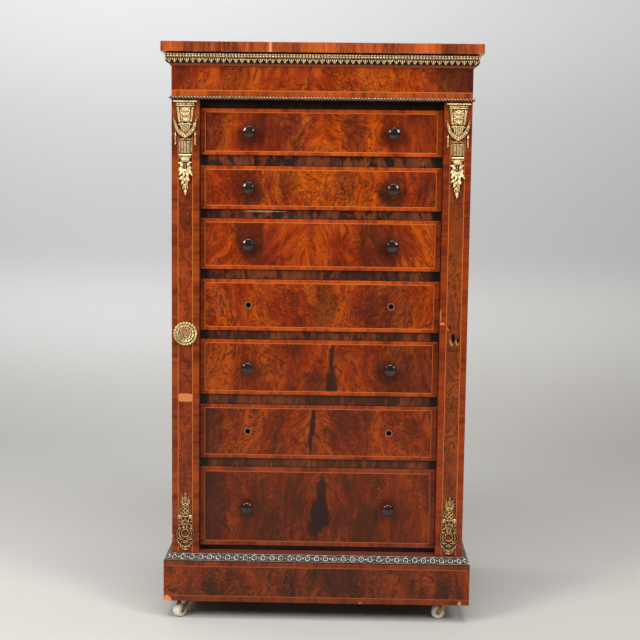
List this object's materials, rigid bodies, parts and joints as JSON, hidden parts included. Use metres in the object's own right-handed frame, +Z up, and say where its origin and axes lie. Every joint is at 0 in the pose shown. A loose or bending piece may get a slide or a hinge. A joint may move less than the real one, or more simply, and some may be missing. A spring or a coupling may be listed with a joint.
{
  "type": "semainier",
  "caption": "Tall narrow chest with seven stacked drawers, one fixed stile and one hinged stile that locks them, on casters.",
  "frame": {"origin": "on the floor under the middle of the top board", "axes": "+Z up, +X to the right as seen from the front, -Y towards the front"},
  "size_m": [0.65, 0.42, 1.2],
  "materials": {
    "walnut_veneer": "french polished burr walnut veneer with kingwood crossbands",
    "moulding_wood": "polished dark red-brown hardwood",
    "ebonised_wood": "ebonised and polished",
    "oak": "plain planed oak, unpolished",
    "gilt_bronze": "cast, chased and mercury-gilt look, brown in the recesses",
    "pale_brass": "cast strip, pale and worn",
    "aged_brass": "aged brass, dull",
    "lock_steel": "filed steel",
    "white_china": "glazed white china"
  },
  "bodies": {
    "carcase": {"top_board": "walnut_veneer", "frieze": "walnut_veneer", "side_left": "walnut_veneer", "side_right": "walnut_veneer", "fixed_stile": "walnut_veneer", "plinth_frame": "walnut_veneer", "cornice_moulding": "moulding_wood", "plinth_moulding": "moulding_wood", "end_rails": "ebonised_wood", "drawer_rails": "ebonised_wood", "back_panel": "oak", "front_posts": "oak", "bottom_board": "oak", "drawer_runners": "oak", "drawer_stops": "oak", "corner_blocks": "oak", "cornice_border": "gilt_bronze", "rope_moulding": "gilt_bronze", "fixed_stile_top_mount": "gilt_bronze", "fixed_stile_bottom_mount": "gilt_bronze", "rosette": "gilt_bronze", "plinth_border": "pale_brass", "pivot_sockets": "aged_brass", "staple_plate": "aged_brass", "caster_plates": "aged_brass", "carcase_screws": "aged_brass"},
    "locking_stile": {"locking_stile": "walnut_veneer", "locking_stile_top_mount": "gilt_bronze", "locking_stile_bottom_mount": "gilt_bronze", "pivot_plates": "aged_brass", "stile_screws": "aged_brass", "lock_case": "lock_steel"},
    "lock_bolt": {"lock_bolt": "lock_steel"},
    "drawer_1": {"drawer_1_front": "walnut_veneer", "drawer_1_box": "oak", "drawer_1_knobs": "ebonised_wood"},
    "drawer_2": {"drawer_2_front": "walnut_veneer", "drawer_2_box": "oak", "drawer_2_knobs": "ebonised_wood"},
    "drawer_3": {"drawer_3_front": "walnut_veneer", "drawer_3_box": "oak", "drawer_3_knobs": "ebonised_wood"},
    "drawer_4": {"drawer_4_front": "walnut_veneer", "drawer_4_box": "oak"},
    "drawer_5": {"drawer_5_front": "walnut_veneer", "drawer_5_box": "oak", "drawer_5_knobs": "ebonised_wood"},
    "drawer_6": {"drawer_6_front": "walnut_veneer", "drawer_6_box": "oak"},
    "drawer_7": {"drawer_7_front": "walnut_veneer", "drawer_7_box": "oak", "drawer_7_knobs": "ebonised_wood"},
    "caster_swivel_front_left": {"caster_horn_front_left": "aged_brass"},
    "caster_wheel_front_left": {"caster_wheel_front_left": "white_china"},
    "caster_swivel_front_right": {"caster_horn_front_right": "aged_brass"},
    "caster_wheel_front_right": {"caster_wheel_front_right": "white_china"},
    "caster_swivel_back_left": {"caster_horn_back_left": "aged_brass"},
    "caster_wheel_back_left": {"caster_wheel_back_left": "white_china"},
    "caster_swivel_back_right": {"caster_horn_back_right": "aged_brass"},
    "caster_wheel_back_right": {"caster_wheel_back_right": "white_china"}
  },
  "joints": [
    {"name": "drawer_1_slide", "type": "slide", "parent": "carcase", "child": "drawer_1", "axis": [0, -1, 0], "range_m": [0, 0.28]},
    {"name": "drawer_2_slide", "type": "slide", "parent": "carcase", "child": "drawer_2", "axis": [0, -1, 0], "range_m": [0, 0.28]},
    {"name": "drawer_3_slide", "type": "slide", "parent": "carcase", "child": "drawer_3", "axis": [0, -1, 0], "range_m": [0, 0.28]},
    {"name": "drawer_4_slide", "type": "slide", "parent": "carcase", "child": "drawer_4", "axis": [0, -1, 0], "range_m": [0, 0.28]},
    {"name": "drawer_5_slide", "type": "slide", "parent": "carcase", "child": "drawer_5", "axis": [0, -1, 0], "range_m": [0, 0.28]},
    {"name": "drawer_6_slide", "type": "slide", "parent": "carcase", "child": "drawer_6", "axis": [0, -1, 0], "range_m": [0, 0.28]},
    {"name": "drawer_7_slide", "type": "slide", "parent": "carcase", "child": "drawer_7", "axis": [0, -1, 0], "range_m": [0, 0.28]},
    {"name": "stile_hinge", "type": "hinge", "parent": "carcase", "child": "locking_stile", "pos_m": [0.3, -0.1785, 0.615], "axis": [0, 0, 1], "range_deg": [0, 110]},
    {"name": "bolt_slide", "type": "slide", "parent": "locking_stile", "child": "lock_bolt", "axis": [0, 0, 1], "range_m": [0, 0.007]},
    {"name": "caster_swivel_front_left", "type": "hinge", "parent": "carcase", "child": "caster_swivel_front_left", "pos_m": [-0.279, -0.164, 0.04], "axis": [0, 0, 1], "continuous": true},
    {"name": "caster_wheel_front_left", "type": "hinge", "parent": "caster_swivel_front_left", "child": "caster_wheel_front_left", "pos_m": [-0.29047, -0.18038, 0.014], "axis": [0.8192, -0.5736, 0], "continuous": true},
    {"name": "caster_swivel_front_right", "type": "hinge", "parent": "carcase", "child": "caster_swivel_front_right", "pos_m": [0.279, -0.164, 0.04], "axis": [0, 0, 1], "continuous": true},
    {"name": "caster_wheel_front_right", "type": "hinge", "parent": "caster_swivel_front_right", "child": "caster_wheel_front_right", "pos_m": [0.259, -0.16435, 0.014], "axis": [0.0175, -0.9998, 0], "continuous": true},
    {"name": "caster_swivel_back_left", "type": "hinge", "parent": "carcase", "child": "caster_swivel_back_left", "pos_m": [-0.279, 0.166, 0.04], "axis": [0, 0, 1], "continuous": true},
    {"name": "caster_wheel_back_left", "type": "hinge", "parent": "caster_swivel_back_left", "child": "caster_wheel_back_left", "pos_m": [-0.28584, 0.14721, 0.014], "axis": [0.9397, -0.342, 0], "continuous": true},
    {"name": "caster_swivel_back_right", "type": "hinge", "parent": "carcase", "child": "caster_swivel_back_right", "pos_m": [0.279, 0.166, 0.04], "axis": [0, 0, 1], "continuous": true},
    {"name": "caster_wheel_back_right", "type": "hinge", "parent": "caster_swivel_back_right", "child": "caster_wheel_back_right", "pos_m": [0.29047, 0.14962, 0.014], "axis": [0.8192, 0.5736, 0], "continuous": true}
  ]
}
